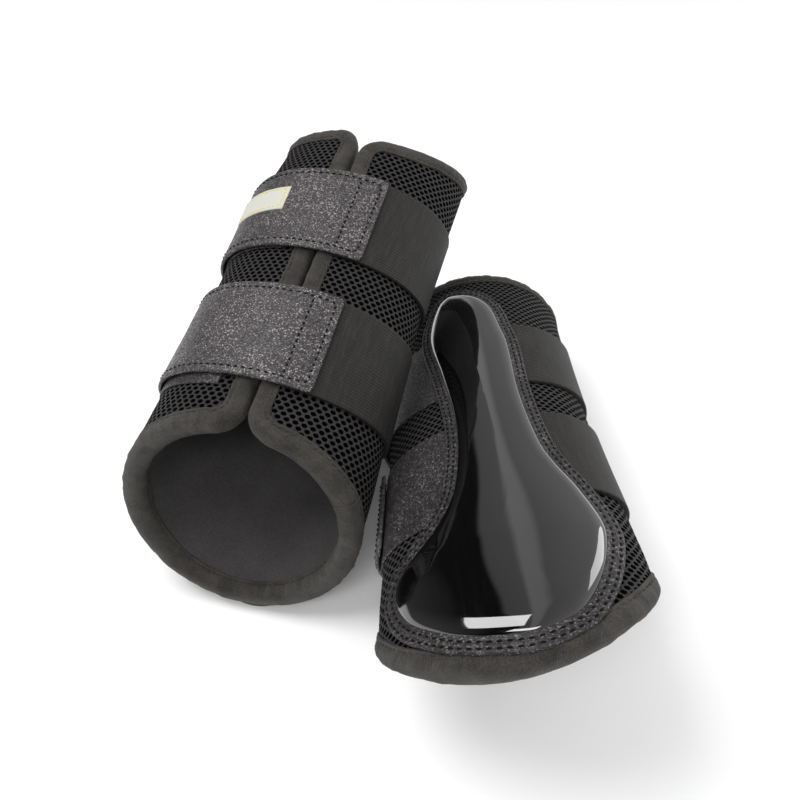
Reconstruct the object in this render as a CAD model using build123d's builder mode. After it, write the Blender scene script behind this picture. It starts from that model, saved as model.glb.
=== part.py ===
from build123d import *
from math import asin, degrees
import os

# A pair of tendon boots for a horse's legs: one lies on its strike pad with its
# closure up, the other lies on its closure with its strike pad up. Millimetres,
# +Z up, floor at Z = 0, origin at the middle of the pair's footprint.
#
# Each boot has its own frame: local Z runs up the leg, local -Y is the closure at
# the front and local +Y is the strike pad. An angle is measured round the boot from
# the closure, positive towards the side where the elastic straps are sewn on.

# ---- driving dimensions of one boot -------------------------------------------
BOOT_HEIGHT = 179.0            # closure edge, bottom rim to top rim
WALL_MESH = 4.6                # spacer mesh
WALL_LINING = 3.6              # neoprene lining
WALL = WALL_MESH + WALL_LINING
BINDING_WIDTH = 9.0            # edge tape, seen from outside
BINDING_PROUD = 0.7            # how far the tape stands off each face of the wall
CORNER_RADIUS = 13.0           # rounded corners of the closure flaps
CLOSURE_GAP = 0.5              # half the gap between the two butted edges

# ---- straps ---------------------------------------------------------------------
STRAP_WIDTH = 50.0
LOWER_STRAP_FOOT = 25.0        # lower edge of each strap above the closure's bottom
UPPER_STRAP_FOOT = 99.0
ELASTIC = 1.7                  # thickness
TAB = 1.7
HOOK_TAPE = 0.8
LANDING_PATCH = 1.0
TAB_LIFT = 2.2                 # underside of the tab above the mesh
HOOK_LIFT = TAB_LIFT - HOOK_TAPE
HOOK_MARGIN = 5.0              # hook tape's edge inside the tab's edge
LOWER_PATCH_DROP = 5.0         # how far the lower patch shows below its tab
LABEL_FOOT = 22.0              # label's lower edge above the upper tab's
LABEL_HEIGHT = 15.0
LABEL = 0.5

# ---- angles round the boot, degrees ----------------------------------------------
BEND_ANGLE = 30.0              # where the closure flap and the tabs bend open
BEND_GAP = 0.9                 # half the gap between rigid pieces at the bend
ELASTIC_BEND_GAP = 3.4
TAB_START = 25.0               # the tab's sewn end, on the elastic
TAB_SEAM = 10.5                # the elastic's end, under the tab
TAB_END = -110.0
HOOK_START = -58.0
HOOK_END = -107.0
PATCH_START = -18.0
LABEL_START = -25.0
LABEL_END = -66.0
QUARTER_TURN = 90.0
PAD_ANGLE = 180.0              # the strike pad's middle line

# ---- strike pad ------------------------------------------------------------------
PAD_BACKING = 1.2
PAD_FOAM = 2.2
PAD_SKIN = 1.4
PAD_BORDER = 6.5               # glitter border left visible round the pad
PAD_EDGE_WALL = 2.0            # skin beside the foam core
PAD_REACH = 80.0               # degrees each side that hold the whole pad
# the border's outline seen square to the pad, as (distance from the pad's middle
# line towards the elastic's side, height above the closure's bottom)
PAD_OUTLINE = [
    (2, -49), (12, -49), (22, -46), (32, -40), (41, -27), (47, -11), (49, 5), (44, 25), (38, 40), (34, 55),
    (31, 89), (31, 127), (29, 145), (25, 167), (16, 181), (3, 188), (-9, 188), (-20, 177), (-26, 150), (-21, 113),
    (-17, 82), (-17, 56), (-21, 32), (-30, 17), (-43, 5), (-48, -4), (-48, -15), (-41, -29), (-27, -40), (-13, -46),
]

# ---- where each boot lies --------------------------------------------------------
# half width and half depth of the mesh's outer face, at the bottom and at the top
LEFT_BOTTOM = (54.5, 39.0)
LEFT_TOP = (53.0, 34.0)
RIGHT_BOTTOM = (52.0, 24.0)    # pressed flat by its own weight
RIGHT_TOP = (49.0, 32.0)
LEFT_PAD_DROP = 50.0           # how much lower the bottom rim is at the pad
RIGHT_PAD_DROP = 53.0
PAD_RISE = 28.0                # how much higher the top rim is at the pad
LEFT_PLACE = (-49.0, -45.15, 55.4)
LEFT_LEG_AXIS = (0.261, 0.911, 0.319)
LEFT_PAD_SIDE = (0.041, 0.320, -0.947)
RIGHT_PLACE = (58.0, -110.15, 59.2)
RIGHT_LEG_AXIS = (-0.005, 0.990, -0.138)
RIGHT_PAD_SIDE = (-0.303, 0.130, 0.944)

os.makedirs("parts", exist_ok=True)


def unit(vector):
    return Vector(*vector).normalized()


class Boot:
    """The frame and the wall's shape of one boot; side is -1 for the mirrored one."""

    def __init__(self, name, side, place, leg_axis, pad_side, bottom, top, pad_drop):
        z_axis = unit(leg_axis)
        y_axis = unit(pad_side)
        x_axis = y_axis.cross(z_axis).normalized()
        self.name = name
        self.side = side
        self.plane = Plane(origin=place, x_dir=x_axis, z_dir=z_axis)
        self.bottom = bottom
        self.top = top
        self.pad_drop = pad_drop

    def radii(self, height, offset):
        """Half width and half depth of the mesh's outer face, moved out by offset."""
        share = height / BOOT_HEIGHT
        half_width = self.bottom[0] + (self.top[0] - self.bottom[0]) * share
        half_depth = self.bottom[1] + (self.top[1] - self.bottom[1]) * share
        return half_width + offset, half_depth + offset

    def rim(self, height, closure_depth, pad_shift):
        """The tilted plane of a rim, from the closure's end to the pad's end."""
        front = self.plane.from_local_coords(Vector(0, -closure_depth, height))
        back = self.plane.from_local_coords(Vector(0, closure_depth, height + pad_shift))
        along = (back - front).normalized()
        across = self.plane.x_dir
        return Plane(origin=front, x_dir=across, z_dir=across.cross(along))

    def bottom_rim(self, inset=0.0):
        return self.rim(0, self.bottom[1], -self.pad_drop).offset(inset)

    def top_rim(self, inset=0.0):
        return self.rim(BOOT_HEIGHT, self.top[1], PAD_RISE).offset(-inset)


def wall_band(boot, inner, outer, start, end, low, high):
    """A curved slab between two offsets, two angles and two heights."""
    with BuildPart() as band:
        for height in (low, high):
            with BuildSketch(boot.plane.offset(height)):
                wide, deep = boot.radii(height, outer)
                narrow, shallow = boot.radii(height, inner)
                first = min(boot.side * start, boot.side * end) - QUARTER_TURN
                sweep = abs(end - start)
                with BuildLine():
                    outside = EllipticalCenterArc((0, 0), wide, deep, first, arc_size=sweep)
                    inside = EllipticalCenterArc((0, 0), narrow, shallow, first, arc_size=sweep)
                    Line(outside @ 0, inside @ 0)
                    Line(outside @ 1, inside @ 1)
                make_face()
        loft(ruled=True)
    return band.part


def keep_between_rims(boot, inset=0.0):
    """Cut the open part at both rim planes, moved inwards by inset."""
    split(bisect_by=boot.bottom_rim(inset), keep=Keep.TOP)
    split(bisect_by=boot.top_rim(inset), keep=Keep.BOTTOM)


def angle_of(distance):
    """The angle whose point on the closure side lies distance from the middle line."""
    return degrees(asin(distance / LEFT_TOP[0]))


CLOSURE_ANGLE = angle_of(CLOSURE_GAP)
WINDOW_ANGLE = angle_of(CLOSURE_GAP + BINDING_WIDTH)
BEND_GAP_ANGLE = angle_of(BEND_GAP)
ELASTIC_GAP_ANGLE = angle_of(ELASTIC_BEND_GAP)
LOWEST = -90.0                 # past both rims, where bands are cut back to them
HIGHEST = BOOT_HEIGHT + 60.0
FLAP = (CLOSURE_ANGLE, WINDOW_ANGLE, BEND_ANGLE - BEND_GAP_ANGLE)
SHELL = (2 * PAD_ANGLE - CLOSURE_ANGLE, 2 * PAD_ANGLE - WINDOW_ANGLE, BEND_ANGLE + BEND_GAP_ANGLE)


def save(boot, name, piece):
    label = boot.name + "_" + name
    piece.part.label = label
    export_step(piece.part, "parts/" + label + ".step")


def make_panel(boot, name, inner, outer, panel):
    """One layer of the wall, inside the edge binding."""
    with BuildPart() as layer:
        add(wall_band(boot, inner, outer, panel[1], panel[2], LOWEST, HIGHEST))
        keep_between_rims(boot, BINDING_WIDTH)
    save(boot, name, layer)


def make_binding(boot, name, panel):
    """Edge tape along the bottom rim, the closure edge and the top rim."""
    beyond = panel[2] + (BEND_GAP_ANGLE if panel is FLAP else -BEND_GAP_ANGLE)
    towards = boot.side if panel is FLAP else -boot.side
    with BuildPart() as window:
        add(wall_band(boot, -2 * WALL, WALL, panel[1], beyond, LOWEST, HIGHEST))
        keep_between_rims(boot, BINDING_WIDTH)
    with BuildPart() as tape:
        add(wall_band(boot, -WALL - BINDING_PROUD, BINDING_PROUD, panel[0], panel[2], LOWEST, HIGHEST))
        keep_between_rims(boot)
        add(window.part, mode=Mode.SUBTRACT)
        add(corner_cutter(boot.bottom_rim(), towards, 1), mode=Mode.SUBTRACT)
        add(corner_cutter(boot.top_rim(), towards, -1), mode=Mode.SUBTRACT)
    save(boot, name, tape)


def corner_cutter(rim, towards, upwards):
    """What a rounded corner takes off, beside the closure at one rim."""
    facing = Plane(origin=rim.origin, x_dir=rim.x_dir, z_dir=rim.x_dir.cross(rim.z_dir))
    half = CORNER_RADIUS / 2
    with BuildPart() as cutter:
        with BuildSketch(facing):
            with Locations((towards * (CLOSURE_GAP + half), upwards * half)):
                Rectangle(CORNER_RADIUS, CORNER_RADIUS)
            with Locations((towards * (CLOSURE_GAP + CORNER_RADIUS), upwards * CORNER_RADIUS)):
                Circle(CORNER_RADIUS, mode=Mode.SUBTRACT)
        extrude(amount=3 * WALL, both=True)
    return cutter.part


def inset_outline(points, inset):
    """A closed outline with every point moved inwards, square to its neighbours."""
    moved = []
    for index, (across, height) in enumerate(points):
        before = Vector(*points[index - 1])
        after = Vector(*points[(index + 1) % len(points)])
        along = (after - before).normalized()
        moved.append((across - along.Y * inset, height + along.X * inset))
    return moved


def pad_prism(boot, inset):
    """A bar with the strike pad's outline, drawn inwards by inset, through the pad side."""
    front = Plane(origin=boot.plane.origin, x_dir=boot.plane.x_dir, z_dir=-boot.plane.y_dir)
    outline = [(boot.side * across, height) for across, height in inset_outline(PAD_OUTLINE, inset)]
    with BuildPart() as bar:
        with BuildSketch(front):
            with BuildLine():
                Spline(*outline, periodic=True)
            make_face()
        extrude(amount=-2 * BOOT_HEIGHT)
    return bar.part


def make_strike_pad(boot, outline, skin_outline, core_outline):
    """Glitter backing sewn to the mesh, foam core and the domed pad over it."""
    pad_start = PAD_ANGLE - PAD_REACH
    pad_end = PAD_ANGLE + PAD_REACH
    with BuildPart() as backing:
        add(wall_band(boot, 0, PAD_BACKING, pad_start, pad_end, LOWEST, HIGHEST))
        add(outline, mode=Mode.INTERSECT)
        keep_between_rims(boot, BINDING_WIDTH)
    save(boot, "pad_border", backing)
    core_top = PAD_BACKING + PAD_FOAM
    with BuildPart() as core:
        add(wall_band(boot, PAD_BACKING, core_top, pad_start, pad_end, LOWEST, HIGHEST))
        add(core_outline, mode=Mode.INTERSECT)
    save(boot, "pad_foam_core", core)
    with BuildPart() as pad:
        add(wall_band(boot, PAD_BACKING, core_top + PAD_SKIN, pad_start, pad_end, LOWEST, HIGHEST))
        add(skin_outline, mode=Mode.INTERSECT)
        add(core.part, mode=Mode.SUBTRACT)
    save(boot, "strike_pad", pad)


def make_strap(boot, name, foot, patch_drop, outline):
    """One strap: elastic, its sewn end, the tab, hook tape and the landing patch."""
    head = foot + STRAP_WIDTH
    with BuildPart() as elastic:
        add(wall_band(boot, 0, ELASTIC, BEND_ANGLE + ELASTIC_GAP_ANGLE, PAD_ANGLE, foot, head))
        add(outline, mode=Mode.SUBTRACT)
    save(boot, name + "_elastic", elastic)
    with BuildPart() as sewn_end:
        end_start = BEND_ANGLE - 1.5 * BEND_GAP_ANGLE
        add(wall_band(boot, TAB_LIFT - ELASTIC, TAB_LIFT, end_start, TAB_SEAM, foot, head))
    save(boot, name + "_elastic_end", sewn_end)
    with BuildPart() as tab:
        add(wall_band(boot, TAB_LIFT, TAB_LIFT + TAB, TAB_START, TAB_END, foot, head))
    save(boot, name + "_tab", tab)
    with BuildPart() as hooks:
        add(wall_band(boot, HOOK_LIFT, TAB_LIFT, HOOK_START, HOOK_END, foot + HOOK_MARGIN, head - HOOK_MARGIN))
    save(boot, name + "_hook_tape", hooks)
    with BuildPart() as patch:
        add(wall_band(boot, 0, LANDING_PATCH, PATCH_START, -PAD_ANGLE, foot - patch_drop, head))
        add(outline, mode=Mode.SUBTRACT)
    save(boot, name + "_landing_patch", patch)


def make_label(boot):
    """Small blank woven label on the upper tab."""
    low = UPPER_STRAP_FOOT + LABEL_FOOT
    top = TAB_LIFT + TAB
    with BuildPart() as label:
        add(wall_band(boot, top, top + LABEL, LABEL_START, LABEL_END, low, low + LABEL_HEIGHT))
    save(boot, "label", label)


def make_boot(boot):
    make_panel(boot, "outer_mesh", -WALL_MESH, 0, SHELL)
    make_panel(boot, "lining", -WALL, -WALL_MESH, SHELL)
    make_binding(boot, "edge_binding", SHELL)
    make_panel(boot, "flap_mesh", -WALL_MESH, 0, FLAP)
    make_panel(boot, "flap_lining", -WALL, -WALL_MESH, FLAP)
    make_binding(boot, "flap_binding", FLAP)
    outline = pad_prism(boot, 0)
    skin_outline = pad_prism(boot, PAD_BORDER)
    core_outline = pad_prism(boot, PAD_BORDER + PAD_EDGE_WALL)
    make_strike_pad(boot, outline, skin_outline, core_outline)
    make_strap(boot, "upper_strap", UPPER_STRAP_FOOT, 0, outline)
    make_strap(boot, "lower_strap", LOWER_STRAP_FOOT, LOWER_PATCH_DROP, outline)
    make_label(boot)


left = Boot("left", 1, LEFT_PLACE, LEFT_LEG_AXIS, LEFT_PAD_SIDE, LEFT_BOTTOM, LEFT_TOP, LEFT_PAD_DROP)
right = Boot("right", -1, RIGHT_PLACE, RIGHT_LEG_AXIS, RIGHT_PAD_SIDE, RIGHT_BOTTOM, RIGHT_TOP, RIGHT_PAD_DROP)
make_boot(left)
make_boot(right)
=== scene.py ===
"""The looks of a pair of tendon boots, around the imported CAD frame.

Sizes with names are in millimetres, as in the CAD, and every point that reaches Blender is in metres.
A place on a boot is (arc, height, offset): arc runs round the boot from the closure towards the
elastic side, height runs up the leg, and offset stands off the outer face of the mesh fabric.
"""
from math import pi, radians

import bmesh
import bpy
import numpy as np
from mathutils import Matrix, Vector


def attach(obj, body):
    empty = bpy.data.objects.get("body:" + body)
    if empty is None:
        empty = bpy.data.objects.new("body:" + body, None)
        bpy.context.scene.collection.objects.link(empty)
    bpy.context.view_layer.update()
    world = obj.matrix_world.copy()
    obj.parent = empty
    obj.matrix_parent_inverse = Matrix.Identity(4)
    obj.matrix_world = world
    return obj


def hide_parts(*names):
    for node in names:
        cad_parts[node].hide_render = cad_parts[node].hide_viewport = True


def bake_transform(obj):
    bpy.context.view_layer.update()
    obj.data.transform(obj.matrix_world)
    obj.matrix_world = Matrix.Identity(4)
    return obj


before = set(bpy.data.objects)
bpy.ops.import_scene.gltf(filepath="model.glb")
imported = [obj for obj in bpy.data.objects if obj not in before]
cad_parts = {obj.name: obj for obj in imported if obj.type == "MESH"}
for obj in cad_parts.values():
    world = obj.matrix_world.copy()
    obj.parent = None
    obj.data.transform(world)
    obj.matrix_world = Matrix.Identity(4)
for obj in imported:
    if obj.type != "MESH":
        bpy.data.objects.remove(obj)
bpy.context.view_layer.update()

MM = 0.001
PER_MM = 1000.0

# ---- sizes shared with the CAD
BOOT_HEIGHT = 179.0
WALL_MESH = 4.6
WALL = 8.2
CORNER_RADIUS = 13.0
CLOSURE_GAP = 0.5
BINDING_WIDTH = 9.0
STRAP_WIDTH = 50.0
STRAP_FOOT = {"upper": 99.0, "lower": 25.0}
PATCH_DROP = {"upper": 0.0, "lower": 5.0}
ELASTIC = 1.7
TAB = 1.7
TAB_LIFT = 2.2
HOOK_TAPE = 0.8
HOOK_MARGIN = 5.0
LANDING_PATCH = 1.0
LABEL = 0.5
LABEL_FOOT = 22.0             # above the upper strap's lower edge
LABEL_HEIGHT = 15.0
PAD_BORDER = 6.5
PAD_RISE = 28.0
PAD_OUTLINE = [
    (2, -49), (12, -49), (22, -46), (32, -40), (41, -27), (47, -11), (49, 5), (44, 25),
    (38, 40), (34, 55), (31, 89), (31, 127), (29, 145), (25, 167), (16, 181), (3, 188),
    (-9, 188), (-20, 177), (-26, 150), (-21, 113), (-17, 82), (-17, 56), (-21, 32), (-30, 17),
    (-43, 5), (-48, -4), (-48, -15), (-41, -29), (-27, -40), (-13, -46),
]
# angles round the boot, degrees
BEND_ANGLE = 30.0
TAB_START = 25.0
TAB_SEAM = 10.5
TAB_END = -110.0
HOOK_ANGLES = (-58.0, -107.0)
PATCH_START = -18.0
LABEL_ANGLES = (-25.0, -66.0)
FULL_TURN = 360.0
HALF_TURN = 180.0

# ---- sizes of the soft wall
WAIST = 2.5                   # how far the wall draws in at half height
PINCH = 7.0                   # how far the tab's side draws in at the top
PINCH_FROM = 135.0            # the height where that begins
PINCH_REACH = 55.0            # and the height over which it grows
FLAP_STEP = 5.0               # how much higher the tab's side of the closure ends
FLAP_STEP_REACH = 45.0        # the arc over which that fades
SPLIT_ANGLE = 62.0            # where the panel on the flap's side ends
WALL_BEND = (37.0, 23.0)      # angles either side of the flap's line, read but not used to bend the wall
ELASTIC_BEND = (37.0, 30.5)
TAB_BEND = (29.5, 25.5)
ANGLE_STEPS = 1441            # angles that the wall's arc length is measured at

# ---- sizes of the mesh fabric
HOLE_PITCH = 3.7              # round the boot
HOLE_ROW = 2.2                # from row to row
HOLE_RIM = (1.3, 1.05)        # half width and half height of a hole at the surface
HOLE_FLOOR = (1.0, 0.8)
HOLE_DEPTH = 1.5
YARN_LIFT = 0.12              # how high the yarns stand where they cross
YARN_DIP = -0.4               # the share of that between crossings
MESH_TUCK = (2.0, 2.5)        # how far the mesh runs under the tape: along the closure, along a rim
LINING_TUCK = 4.0             # how far the lining does
LINING_OVERLAP = 1.5          # how far the lining runs into the back of the mesh

# ---- sizes of stitches and tape
STITCH_PITCH = 3.1
STITCH_LENGTH = 2.1
STITCH_WIDTH = 1.0
STITCH_RINGS = 5
STITCH_SIDES = 6
STITCH_SINK = 0.35            # how far a stitch's ends dip into the fabric
STITCH_FLATNESS = 0.8
TAPE_STITCH_IN = 7.3          # from the wall's edge
TAPE_STITCH_LIFT = 0.72
TAPE_STITCH_WIDTH = 0.7
# the tape's cross-section, as (distance in from the edge, offset) with the outside face first
TAPE_SECTION = [
    (9.0, -0.2), (9.1, 0.35), (8.7, 0.75), (8.0, 0.85), (7.3, 0.5), (6.6, 0.95), (5.2, 1.15),
    (3.6, 1.0), (2.1, 0.5), (0.9, -0.6), (0.2, -2.2), (0.0, -4.1), (0.2, -6.0), (0.9, -7.6),
    (2.1, -8.7), (3.6, -9.15), (5.2, -9.25), (6.6, -9.1), (7.3, -8.7), (8.0, -9.0), (8.7, -8.9),
    (9.1, -8.5), (9.0, -8.0), (5.0, -6.9), (3.2, -4.1), (5.0, -1.3),
]
TAPE_HIDDEN = 3               # points at the section's end, inside the wall
TAPE_MIDDLE = -4.1            # offset of the section's middle
PUCKER_BEAT = 3.3             # length of the small puckers between stitches
PUCKER_LIFT = 0.42
PUCKER_INSET = 0.16
GATHER_BEAT = 9.0             # length of the broader gathers
GATHER_LIFT = 0.25
GATHER_INSET = 0.3

# ---- sizes of the strike pad
PAD_POINTS = 420              # points round each outline
PAD_SEAMS = (2.0, 4.6)        # rows of stitches, in from the border's edge
SEAM_DEPTH = 0.35
SEAM_WIDTH = 0.6
BORDER_EDGE = 1.2             # offset of the border at its edge
BORDER_RISE = 1.4
BORDER_ROUNDING = 1.6
BORDER_STITCH_LIFT = 2.45
CORE_INSET = PAD_BORDER + 2
CORE_FOOT = 1.25
CORE_EDGE = 1.3
CORE_RISE = 1.9
CORE_ROUNDING = 4.0
SKIN_FOOT = 1.3
SKIN_EDGE = 1.8
SKIN_RISE = 3.0
SKIN_ROUNDING = 6.5
SKIN_CROWN = 1.2
SKIN_CROWN_REACH = 13.0
SPINE_LOW = 0.17              # shares of the pad's height that its spine stays clear of
SPINE_HIGH = 0.12
SPINE_BLUR = 9.0
SPINE_DEGREE = 9
RING_CROWDING = 1.7           # above 1, rings crowd towards the edge

# ---- sizes of straps and label
STRAP_GAP = 0.15              # between the mesh and an elastic
ELASTIC_PLUMP = 0.2           # how much an elastic's ribs stand over its plain thickness
RIB_PITCH = 1.55
RIB_LIFT = 0.07
ELASTIC_SWELL = (0.05, 6.0)   # height and beat of an elastic's unevenness
ELASTIC_ROW = 0.38
PAD_TUCK = 3.0                # how far a strap runs under the pad's border
SEAM_TUCK = 2.0               # degrees that the elastic's end runs past the tab's cross seam
TAB_OVERHANG = 0.5            # how much wider the tab is than the elastic, on each side
TAB_SWELL_ALONG = (0.12, 16.0)
TAB_SWELL_UP = (0.08, 9.0)
TAB_STITCH_MARGIN = 3.0
TAB_STITCH_LIFT = 0.1
CROSS_SEAM_MARGIN = 4.0
CROSS_SEAM_POINTS = 20
FRAME_STEP = 2.0              # spacing of the points on a rectangle of stitches
LABEL_STITCH = {"pitch": 2.0, "length": 1.5, "width": 0.9}
LABEL_STITCH_MARGIN = 1.6
LABEL_CORNER = 0.5
LABEL_SINK = 0.2
LABEL_PLUMP = 0.15

# weight, rate and phase of each wave in a wobble
WOBBLE = ((1.0, 2.0, 1.0), (0.7, 3.7, 2.1), (0.5, 7.3, 0.7))
WOBBLE_SPAN = 2.2


# ---- small tools
def unit(vector):
    vector = np.array(vector, float)
    return vector / np.linalg.norm(vector)


def smooth_noise(along, beat, seed):
    """A gentle repeatable wobble, from -1 to 1."""
    waves = [weight * np.sin(along / beat * rate + phase * seed) for weight, rate, phase in WOBBLE]
    return sum(waves) / WOBBLE_SPAN


def run_length(path):
    """How far along the path each of its points lies."""
    return np.concatenate(([0], np.cumsum(np.hypot(*np.diff(path, axis=0).T))))


def along_path(path, run, marks):
    return np.column_stack([np.interp(marks, run, path[:, axis]) for axis in (0, 1)])


def close_path(path):
    return np.concatenate((path, path[:1]))


def inward(path):
    """The way in, square to each point of a closed path that runs anticlockwise."""
    along = np.roll(path, -1, axis=0) - np.roll(path, 1, axis=0)
    along /= np.linalg.norm(along, axis=1)[:, None]
    return np.column_stack((-along[:, 1], along[:, 0]))


def inset(outline, distance):
    return outline + distance * inward(outline)


def rounded_rise(distance, width):
    """A quarter-round from 0 at the edge to 1 at width."""
    return np.sqrt(1 - np.clip(1 - distance / width, 0, 1) ** 2)


class Boot:
    """One boot's own axes and soft wall; side is -1 for the mirrored one."""

    def __init__(self, name, side, place, leg_axis, pad_side, bottom, top, pad_drop, rim_bend):
        self.name = name
        self.side = side
        self.place = np.array(place, float)
        self.up = unit(leg_axis)
        self.across = unit(np.cross(unit(pad_side), self.up))
        self.back = np.cross(self.up, self.across)
        self.bottom = bottom
        self.top = top
        self.pad_drop = pad_drop
        self.rim_bend = rim_bend
        self.angles = np.linspace(0, FULL_TURN, ANGLE_STEPS)
        wide, deep = self.radii(BOOT_HEIGHT / 2, 0)
        turn = np.radians(self.angles)
        self.arcs = run_length(np.column_stack((wide * np.sin(turn), deep * np.cos(turn))))
        self.round = self.arcs[-1]

    def radii(self, height, offset):
        """The wall's half width and half depth at a height."""
        share = np.clip(np.asarray(height, float) / BOOT_HEIGHT, -1, 2)
        waist = WAIST * np.sin(pi * np.clip(share, 0, 1))
        wide = self.bottom[0] + (self.top[0] - self.bottom[0]) * share - waist
        deep = self.bottom[1] + (self.top[1] - self.bottom[1]) * share - waist / 2
        return wide + offset, deep + offset

    def arc(self, angle):
        return float(np.interp(angle % FULL_TURN, self.angles, self.arcs))

    def arc_past_closure(self, angle):
        """The same, with an angle below zero running on past the closure as a negative arc."""
        return self.arc(angle) if angle >= 0 else self.arc(angle) - self.round

    def at(self, arc, height, offset):
        """Points in metres, in the row's frame, for arrays of places on the boot."""
        height = np.asarray(height, float)
        turn = np.radians(np.interp(arc, self.arcs, self.angles))
        wide, deep = self.radii(height, offset)
        climb = np.clip((height - PINCH_FROM) / PINCH_REACH, 0, 1)
        pinch = PINCH * climb ** 2 * (3 - 2 * climb) * np.maximum(-np.sin(turn), 0)
        local_x = self.side * (wide * np.sin(turn) + pinch)
        local_y = -deep * np.cos(turn)
        points = self.place + local_x[..., None] * self.across + local_y[..., None] * self.back
        return (points + height[..., None] * self.up) * MM

    def lean(self, arc):
        """0 at the closure and 1 at the pad's middle line."""
        return (1 - np.cos(np.radians(np.interp(arc, self.arcs, self.angles)))) / 2

    def low_rim(self, arc):
        return -self.pad_drop * self.lean(arc) ** self.rim_bend

    def high_rim(self, arc):
        from_closure = self.round - np.asarray(arc)
        step = FLAP_STEP * np.clip(1 - from_closure / FLAP_STEP_REACH, 0, 1)
        return BOOT_HEIGHT + PAD_RISE * self.lean(arc) + step

    def pad_arc(self, across):
        """The arc on the pad side that lies across from the middle line, towards the elastic."""
        wide = self.radii(BOOT_HEIGHT / 2, PAD_BORDER)[0] + WAIST
        angle = HALF_TURN - np.degrees(np.arcsin(np.clip(np.asarray(across) / wide, -1, 1)))
        return np.interp(angle, self.angles, self.arcs)

    def spot(self, angle, height):
        return Vector(self.at(np.array([self.arc(angle)]), np.array([height]), 0.0)[0])


class Wrapped:
    """The same boot for pieces whose arc runs through zero at the closure."""

    def __init__(self, boot):
        self.boot = boot
        self.name = boot.name
        self.side = boot.side

    def at(self, arc, height, offset):
        return self.boot.at(np.mod(arc, self.boot.round), height, offset)


# ---- meshes
def make_piece(boot, name, places, faces, materials, face_slots=None, flat=0):
    """A mesh object from places on the boot, which its materials read as the weave.

    The last flat faces are shaded flat, and the others smooth.
    """
    places = np.asarray(places, float)
    points = boot.at(places[:, 0], places[:, 1], places[:, 2])
    mesh = bpy.data.meshes.new(boot.name + "_" + name)
    if boot.side < 0:
        faces = [face[::-1] for face in faces]
    mesh.from_pydata(points.tolist(), [], faces)
    for material in materials:
        mesh.materials.append(material)
    if face_slots is not None:
        mesh.polygons.foreach_set("material_index", np.asarray(face_slots, np.int32))
    smooth = np.ones(len(faces), bool)
    smooth[len(faces) - flat:] = False
    mesh.polygons.foreach_set("use_smooth", smooth)
    weave = mesh.attributes.new("weave", "FLOAT_VECTOR", "POINT")
    weave.data.foreach_set("vector", (places * MM).astype(np.float32).ravel())
    mesh.update()
    piece = bpy.data.objects.new(boot.name + "_" + name, mesh)
    bpy.context.scene.collection.objects.link(piece)
    return piece


def weld(piece, distance=0.00002):
    """Join points that lie within the distance, in metres, and turn every face outwards."""
    work = bmesh.new()
    work.from_mesh(piece.data)
    bmesh.ops.remove_doubles(work, verts=work.verts, dist=distance)
    bmesh.ops.recalc_face_normals(work, faces=work.faces)
    work.to_mesh(piece.data)
    work.free()


def grid_faces(rows, columns):
    """Quads of a grid of points stored row after row."""
    return [(row * columns + column, (row + 1) * columns + column,
             (row + 1) * columns + column + 1, row * columns + column + 1)
            for row in range(rows - 1) for column in range(columns - 1)]


def ring_quads(outer, inner, count):
    """Quads between two closed rings, given by their places among rings of count points."""
    quads = []
    for index in range(count):
        after = (index + 1) % count
        quads.append((outer * count + index, inner * count + index,
                      inner * count + after, outer * count + after))
    return quads


def edge_spread(length, step, fine=0.35):
    """Shares from 0 to 1 along a length, closer together by both ends."""
    count = max(3, int(length / step))
    middle = np.linspace(3 * fine, length - 3 * fine, count)
    ends = np.array([0, fine, 2 * fine])
    return np.concatenate((ends, middle, length - ends[::-1])) / length


def as_function(value):
    return value if callable(value) else (lambda places: np.full_like(places, value))


def slab_places(first, last, low, high, outer, inner, step, relief=None, edge=0.8, corner=0.0,
                row_step=None, round_ends=True):
    """The outer and inner face of a strip, with its numbers of columns and rows.

    first and last are arcs or functions of height, and low and high are heights or functions of arc.
    edge is the width over which the outer face falls at the sides, and corner rounds the outline.
    """
    first_of, last_of, low_of, high_of = (as_function(value) for value in (first, last, low, high))
    zero = np.array([0.0])
    middle_arc = (first_of(zero) + last_of(zero)) / 2
    tall = float(high_of(middle_arc)[0] - low_of(middle_arc)[0])
    rows = edge_spread(tall, row_step or step)
    base_height = low_of(middle_arc)[0] + rows * tall
    starts = first_of(base_height)
    lengths = last_of(base_height) - starts
    columns = edge_spread(float(np.max(lengths)), step)
    share_along, share_up = np.meshgrid(columns, rows, indexing="ij")
    arc = starts + share_along * lengths
    height = low_of(arc) + share_up * (high_of(arc) - low_of(arc))
    from_sides = np.minimum(height - low_of(arc), high_of(arc) - height)
    from_ends = np.minimum(arc - starts, starts + lengths - arc)
    if corner:
        room = np.clip(1 - from_sides / corner, 0, 1)
        pull = corner * (1 - np.sqrt(1 - room ** 2))
        centre = starts + lengths / 2
        arc = centre + (arc - centre) * (1 - 2 * pull / lengths)
    if not round_ends:
        from_ends = from_sides
    near = np.clip(1 - np.minimum(from_sides, from_ends) / edge, 0, 1)
    fall = edge * 0.8 * (1 - np.sqrt(1 - near ** 2))
    lift = outer + (relief(arc, height) if relief else 0) - np.minimum(fall, (outer - inner) * 0.45)
    top = np.stack((arc, height, lift), axis=-1).reshape(-1, 3)
    under = np.stack((arc, height, np.full_like(arc, inner)), axis=-1).reshape(-1, 3)
    return np.concatenate((top, under)), len(columns), len(rows)


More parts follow.
